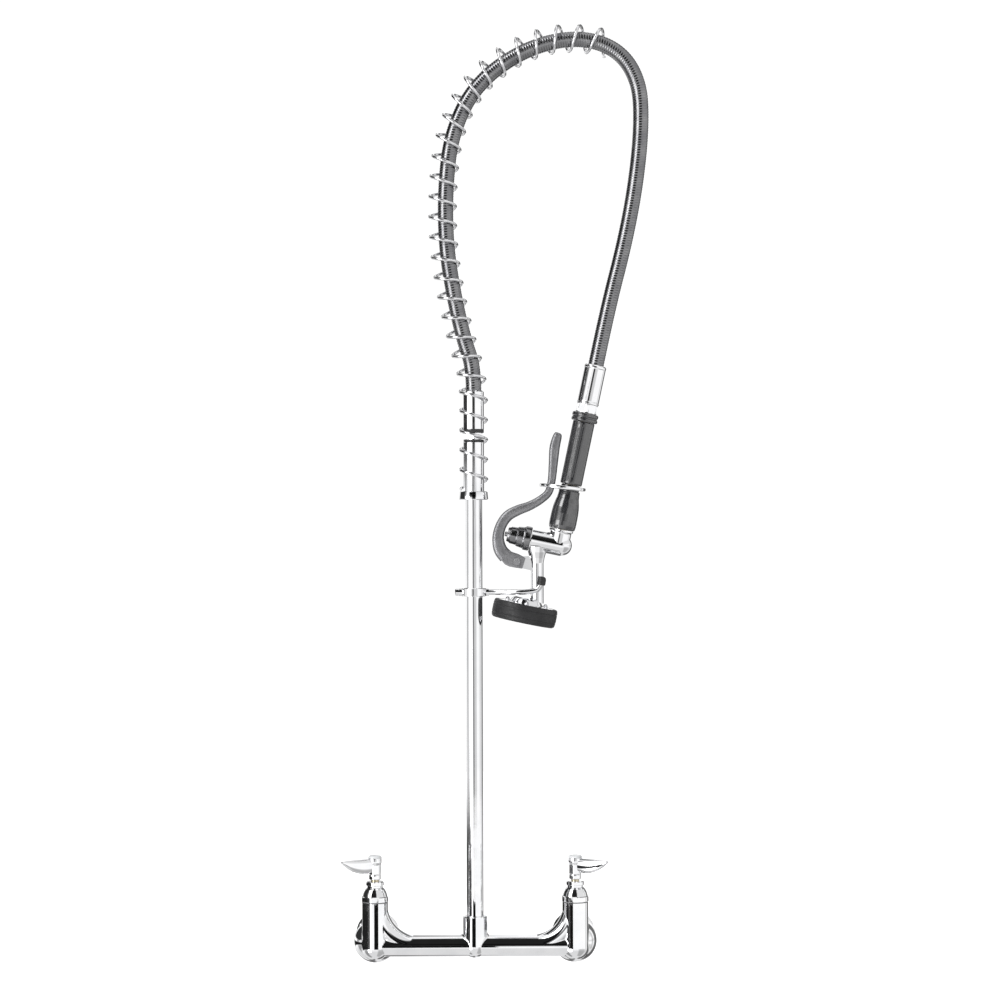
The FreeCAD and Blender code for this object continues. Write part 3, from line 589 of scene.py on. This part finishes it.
def nut(flats, base, top, bore, place=UNMOVED, chamfer=0.9, sides=144):
    """A hexagon with the usual turned chamfers, hollow inside."""
    corner = flats / math.sqrt(3)
    middle = (flats / 2 + corner) / 2
    rings = [(base, middle - chamfer), (base + 0.25 * chamfer, middle - 0.3 * chamfer), (base + chamfer, corner),
             (top - chamfer, corner), (top - 0.25 * chamfer, middle - 0.3 * chamfer), (top, middle - chamfer)]
    sections = []
    for height, limit in rings:
        ring = []
        for k in range(sides):
            a = 2 * math.pi * k / sides
            off = (a + math.pi / 6) % (math.pi / 3) - math.pi / 6
            r = min(flats / 2 / math.cos(off), limit)
            ring.append(place @ Vector((r * math.cos(a), r * math.sin(a), height)))
        sections.append(ring)
    lip = 0.4                                               # countersink of the bore, at both faces
    inside = ((bore + lip, top), (bore, top - lip), (bore, base + lip), (bore + lip, base))
    loop = sections + [[place @ Vector((r * c, r * s, h)) for c, s in compass(sides)] for r, h in inside]
    verts = [v for ring in loop for v in ring]
    faces = []
    for i in range(len(loop)):
        j = (i + 1) % len(loop)
        for k in range(sides):
            m = (k + 1) % sides
            faces.append([i * sides + k, i * sides + m, j * sides + m, j * sides + k])
    return verts, faces


def swept(points, radius, sides=24):
    """A round rod along points, with flat ends, its rings turned as little as possible."""
    last = len(points) - 1
    tangents = [(points[min(i + 1, last)] - points[max(i - 1, 0)]).normalized() for i in range(last + 1)]
    across = tangents[0].orthogonal().normalized()
    sections = []
    for i, (point, tangent) in enumerate(zip(points, tangents)):
        across = (across - tangent * across.dot(tangent)).normalized()
        up = tangent.cross(across)
        sections.append(circle(point, across, up, radius, sides))
    return loft(sections)


def at(x, z, y=AXIS_Y):
    return Vector((x, y, z))


# ---- return spring behind the plunger's disc ------------------------------------------------------------
def return_spring():
    """The small spring inside the gun, which the plunger shortens; here it is wound at one fixed length."""
    turns, length, coil_r, wire_r, per_turn, sides = 5, 10.4, 4.2, 0.6, 32, 10
    place = VALVE @ Matrix.Translation(Vector((-5.1, 0, CHAMBER_B)))
    count = turns * per_turn
    sections = []
    for i in range(count + 1):
        angle = 2 * math.pi * turns * i / count
        outward = Vector((0, math.cos(angle), math.sin(angle)))
        centre = Vector((length * i / count, 0, 0)) + outward * coil_r
        sections.append([place @ v for v in circle(centre, outward, X, wire_r, sides)])
    spring = piece("plunger_spring", *loft(sections), "arch", "stainless_spring", ["return_spring"])
    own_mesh(spring)


return_spring()


# ---- grip ---------------------------------------------------------------------------------------------
def fluted_grip():
    """Moulded sleeve with sixteen soft flutes that fade out at both ends."""
    levels = [(GRIP_BORE, 46.6), (10.1, 46.6), (10.5, 46.75), (10.85, 47.1), (11.08, 47.6), (11.2, 48.3)]
    levels += [(11.2, 49 + 0.6 * i) for i in range(10)] + [(11.2, 55.5 + 3.2 * i) for i in range(16)]
    levels += [(11.2, 104.2 + 0.6 * i) for i in range(11)] + [(11.1, 111.1), (10.8, 111.4), (GRIP_BORE, 111.4)]
    flutes, depth = 16, 0.16
    verts, faces = lathe(levels, 192)
    shaped = []
    for v in verts:
        r, h = math.hypot(v[0], v[1]), v[2]
        if r > 10.8:
            fade = min(1.0, max(0.0, (h - 50) / 5)) * min(1.0, max(0.0, (109 - h) / 5))
            groove = max(0.0, math.cos(flutes * math.atan2(v[1], v[0]))) ** 2
            r2 = r - depth * groove * fade * fade * (3 - 2 * fade)
            v = Vector((v[0] * r2 / r, v[1] * r2 / r, h))
        shaped.append(VALVE @ Vector(v))
    return piece("grip_sleeve", shaped, faces, "arch", "grip_grey", ["upper_grip"])


fluted_grip()
turned("grip_bell", [(GRIP_BORE, 0.3), (12.2, 0.3), (13.3, 1.2), (13.8, 4.5), (13.9, 9), (13.75, 17), (13.3, 23),
                     (12.4, 28), (11.3, 32.5), (10.8, 36.5), (10.7, 40), (9.5, 40.6), (9.5, 46.4), (GRIP_BORE, 46.4)],
       "arch", "grip_grey", ["lower_grip"], VALVE, 1.4)
turned("grip_flange", [(GRIP_BORE, 111.6), (12.6, 111.6), (13.4, 112.6), (13.4, 114.7), (12.7, 115.3), (12.7, 116.5),
                       (13.4, 117.1), (13.4, 119.6), (12.4, 120.6), (GRIP_BORE, 120.6)],
       "arch", "grip_grey", ["grip_collar"], VALVE, 0.45)
sharpen(piece("grip_lock_nut", *nut(21.4, 120.85, 129.75, GRIP_BORE, VALVE), "arch", "chrome_trim", ["grip_nut"]), 25)
turned("hose_ferrule", [(GRIP_BORE, 129.9), (11.0, 129.9), (11.3, 130.4), (11.3, 131.6), (10.95, 132.0),
                        (11.05, 133.0), (11.05, 166.4), (11.3, 167.4), (11.3, 169.0), (10.2, GRIP_LENGTH),
                        (FERRULE_BORE, GRIP_LENGTH), (FERRULE_BORE, 134), (GRIP_BORE, 134)],
       "arch", "chrome_trim", ["grip_end_ferrule"], VALVE, 0.5)


# ---- hold-down ring -----------------------------------------------------------------------------------
turned("lever_ring", [(20.7, 0), (23.6, 0), (23.6, 3.7), (20.7, 3.7)], "ring", "chrome_trim", ["hold_down_ring"],
       VALVE @ Matrix.Translation((-7.3, 0, 40.4)) @ Matrix.Rotation(math.radians(-5), 4, "Y"), 1.1, 128)


# ---- seat of the overhead spring ----------------------------------------------------------------------
turned("spring_seat", [(10.7, 449.3), (14.2, 449.3), (14.8, 450.0), (14.1, 457.3), (13.4, 457.95), (10.7, 457.95)],
       "faucet_body", "chrome_trim", ["spring_collar"], RISER, 0.35)


# ---- squeeze lever ------------------------------------------------------------------------------------
def lever():
    """Rounded bar that hooks round the bonnet, with a fork at the pivot. Rows are (x, z, depth)."""
    rows = [(-23.2, 95.6, 4.6), (-23.3, 94.9, 6.8), (-23.4, 93, 8.6), (-23.9, 81, 10.5), (-21.8, 63, 9.3),
            (-19.9, 45, 8.1), (-20.8, 34, 8.1), (-27.0, 25.4, 8.5), (-36.6, 17.0, 9.3), (-47.3, 10.2, 10.5),
            (-56.2, 2.4, 11.1), (-60.9, -8.6, 11.1), (-61.2, -21.4, 11.9), (-56.2, -32.8, 13.9),
            (-49.4, -38.4, 15.0)]
    dense = []                                              # smooth curve through the rows
    for i in range(len(rows) - 1):
        p0, p1, p2, p3 = (Vector(rows[min(max(j, 0), len(rows) - 1)]) for j in (i - 1, i, i + 1, i + 2))
        d1 = (p1 - p0).to_2d().length ** 0.5 or 1e-3
        d2 = (p2 - p1).to_2d().length ** 0.5
        d3 = (p3 - p2).to_2d().length ** 0.5 or 1e-3
        m1 = (p1 - p0) / d1 - (p2 - p0) / (d1 + d2) + (p2 - p1) / d2 if i else (p2 - p1) / d2
        m2 = (p2 - p1) / d2 - (p3 - p1) / (d2 + d3) + (p3 - p2) / d3 if i < len(rows) - 2 else (p2 - p1) / d2
        m1, m2 = m1 * d2, m2 * d2
        steps = 3 if i < 2 else 9
        for k in range(steps):
            t = k / steps
            dense.append(p1 * (2 * t ** 3 - 3 * t ** 2 + 1) + m1 * (t ** 3 - 2 * t ** 2 + t)
                         + p2 * (3 * t ** 2 - 2 * t ** 3) + m2 * (t ** 3 - t ** 2))
    dense.append(Vector(rows[-1]))
    places = [Vector((p.x, 0, p.y)) for p in dense]
    sections = []
    for i, (p, place) in enumerate(zip(dense, places)):
        tangent = (places[min(i + 1, len(places) - 1)] - places[max(i - 1, 0)]).normalized()
        side = Y.cross(tangent)
        wide = 12.5 * min(1.0, 0.72 + 0.28 * min(i, 6) / 6)
        sections.append([VALVE @ v for v in oval(place, Y, side, wide, p.z, 3.4, 44)])
    parts = [loft(sections)]
    for y in (-1, 1):                                       # the two cheeks of the fork
        cheek = []
        for x, z, high, thick in ((-52.5, -36.6, 13.2, 2.2), (-48.4, -38.9, 14.6, 2.35), (-43.5, -40.0, 14.8, 2.35),
                                  (-38.8, -40.2, 14.3, 2.35), (-34.0, -40.7, 12.8, 2.35),
                                  (-31.2, -41.1, 11.6, 2.25), (-30.3, -41.2, 10.6, 1.9)):
            centre, up = Vector((x, 5.1 * y, z)), Vector((0.1, 0, 0.995))
            cheek.append([VALVE @ v for v in oval(centre, Y, up, thick, high, 6, 32)])
        parts.append(loft(cheek))
    return sharpen(piece("spray_lever", *joined(parts), "lever", "lever_metal", ["squeeze_lever"]), 50)


lever()
# Painted shade: the bonnet takes the dark hose-strip metal, not chrome, and that darkness stands in for the dark
# reflections on this chrome bonnet.
turned("valve_bonnet", [(7.45, 28.7), (11.6, 28.7), (12.35, 29.6), (12.35, 34.6), (11.2, 35.6), (10.9, 36.4),
                        (10.0, 42.2), (9.2, 42.9), (9.0, 43.6), (8.6, 49.2), (7.6, 50.4), (7.0, 52.7), (2.6, 52.7),
                        (2.6, 47), (4.9, 47), (5, 28.7)],
       "arch", "stainless_hose", ["gun_bonnet"],
       VALVE @ Matrix.Translation((0, 0, CHAMBER_B)) @ Matrix.Rotation(-math.pi / 2, 4, "Y"), 0.4)


# ---- spray head ---------------------------------------------------------------------------------------
HEAD = VALVE @ Matrix.Translation((HEAD_A, 0, 0))
turned("rubber_bumper", [(28.1, HEAD_TOP - 0.8), (31, HEAD_TOP - 0.4), (32.3, HEAD_TOP - 1.4),
                         (32.85, HEAD_TOP - 4.0), (33, HEAD_TOP - 5.2), (32.5, HEAD_TOP - 5.8),
                         (33, HEAD_TOP - 6.4), (33, HEAD_BASE + 5.8), (32.5, HEAD_BASE + 5.2),
                         (32.9, HEAD_BASE + 4.6), (32.3, HEAD_BASE + 1.4), (30.6, HEAD_BASE + 0.1),
                         (27, HEAD_BASE + 0.1), (25.1, HEAD_BASE + 1.6), (25.1, HEAD_BASE + 2.8),
                         (28.1, HEAD_BASE + 2.8)],
       "arch", "bumper_rubber", ["bumper_ring"], HEAD, 0.7, 160)


def cap_nuts():
    """Small domed nuts round the edge of the cup's plate."""
    dome = [(0, 1.4), (1.9, 1.4), (1.9, 1.9), (1.7, 2.6), (1.2, 3.2), (0.6, 3.5), (0, 3.6)]
    parts = []
    for i in range(CUP_NUTS):
        a = 2 * math.pi * (i + 0.5) / CUP_NUTS
        seat = Vector((CUP_NUT_CIRCLE * math.cos(a), CUP_NUT_CIRCLE * math.sin(a), HEAD_TOP - 0.5))
        place = HEAD @ Matrix.Translation(seat)
        parts.append(nut(4.6, 0, 1.6, 1.0, place, 0.25, 48))
        parts.append(lathe(dome, 32, place))
    return sharpen(piece("cup_cap_nuts", *joined(parts), "arch", "stainless_screw"), 30)


cap_nuts()


# ---- finger hook --------------------------------------------------------------------------------------
finger = [at(9.2, HOOK_Z), at(22, HOOK_Z), at(42, HOOK_Z, HOOK_FRONT), at(57, HOOK_Z + 0.4, HOOK_FRONT),
          at(67, HOOK_Z + 3.2, HOOK_FRONT), at(68.9, HOOK_Z + 14.4, HOOK_FRONT)]
piece("finger_rod", *swept(nurbs_line("finger route", finger, 16), 2.75, 32), "hook", "chrome_trim", ["hook_finger"])
tip_way = (finger[-1] - finger[-2]).normalized()
tip_place = Matrix.Translation(finger[-1] - tip_way * 7.4) @ tip_way.to_track_quat("Z", "Y").to_matrix().to_4x4()
turned("finger_tip", [(2.85, 0), (3.7, 0), (4.3, 1.2), (4.3, 5.6), (3.9, 7.4), (2.6, 8.6), (1.2, 8.95), (0, 9),
                      (0, 7.5), (2.85, 7.5)], "hook", "bumper_rubber", ["hook_tip_sleeve"], tip_place, 0.7, 64)


# ---- lever handles ------------------------------------------------------------------------------------
def handle(side, x):
    """Cast hub with one tapering lever, its corners rounded over. Stations are (reach, low, high, width)."""
    stations = [(2.0, 71.8, 85.3, 7.6), (6, 71.2, 85.5, 7.8), (10, 70.95, 85.55, 7.9), (14, 70.95, 85.55, 7.9),
                (18, 71.5, 85.5, 7.7), (22, 72.6, 85.5, 7.3), (26, 74.1, 85.45, 6.8), (30, 76.3, 85.3, 6.0),
                (33.5, 78.8, 85.1, 5.0), (36.5, 81.2, 84.9, 3.8), (38.5, 82.9, 84.7, 2.6), (39.4, 83.6, 84.5, 1.2)]
    sections = [oval(Vector((reach, 0, (low + high) / 2)), Y, Z, wide, high - low, 3.0, 40)
                for reach, low, high, wide in stations]
    hub = lathe(rounded([(0, 64.2), (5.5, 64.2), (6.0, 64.8), (6.0, 68.5), (5.75, 69.2), (6.0, 69.9), (6.0, 79),
                         (6.8, 81.5), (6.8, 86), (4.98, 86), (4.98, 82.1), (0, 82.1)], 0.5), 96)
    turn = Matrix.Translation((x, AXIS_Y, 0)) @ Matrix.Rotation(HANDLE_TURN[side], 4, "Z")
    verts, faces = joined([loft(sections), hub])
    return sharpen(piece(side + "_handle_casting", [turn @ Vector(v) for v in verts], faces, side + "_handle",
                         "chrome_body", [side + "_lever_handle"]), 38)


handle("left", -BARREL_X)
handle("right", BARREL_X)


# ---- hose swivel nut ----------------------------------------------------------------------------------
sharpen(piece("hose_swivel", *nut(18.2, 510.7, 517.2, 7.3, RISER, 0.7), "arch",
              "chrome_trim", ["hose_swivel_nut"]), 25)
